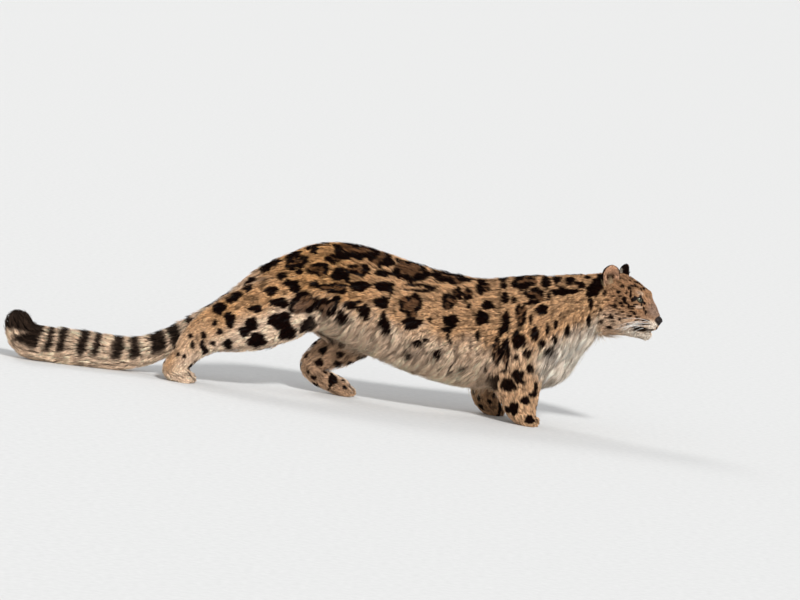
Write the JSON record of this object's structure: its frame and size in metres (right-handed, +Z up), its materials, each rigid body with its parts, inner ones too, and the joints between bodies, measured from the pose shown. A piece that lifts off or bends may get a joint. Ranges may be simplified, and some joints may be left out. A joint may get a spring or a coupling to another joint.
{
  "type": "snow leopard",
  "caption": "Life-size still model of a stalking snow leopard, low on long-furred legs with one hind leg stretched back and the thick tail laid on the ground behind.",
  "frame": {"origin": "middle of the whole outline seen from above, on the floor", "axes": "+X from the tail towards the nose, +Y to the animal's left, +Z up"},
  "size_m": [1.7622, 0.246, 0.4531],
  "materials": {
    "coat": "matte fur, tan with near-black rosettes, cream below",
    "eye": "clear gloss over a pale green-grey iris",
    "nose": "fine-grained moist skin"
  },
  "bodies": {
    "root": {"head": "coat", "neck": "coat", "shoulders": "coat", "torso": "coat", "hindquarters": "coat", "foreleg_right": "coat", "forepaw_right": "coat", "foreleg_left": "coat", "forepaw_left": "coat", "hindleg_right": "coat", "hindpaw_right": "coat", "hindleg_left": "coat", "hindpaw_left": "coat", "tail_root": "coat", "tail_middle": "coat", "tail_end": "coat", "tail_tip": "coat", "ear_right": "coat", "ear_left": "coat", "eye_right": "eye", "eye_left": "eye", "nose": "nose"}
  },
  "joints": []
}
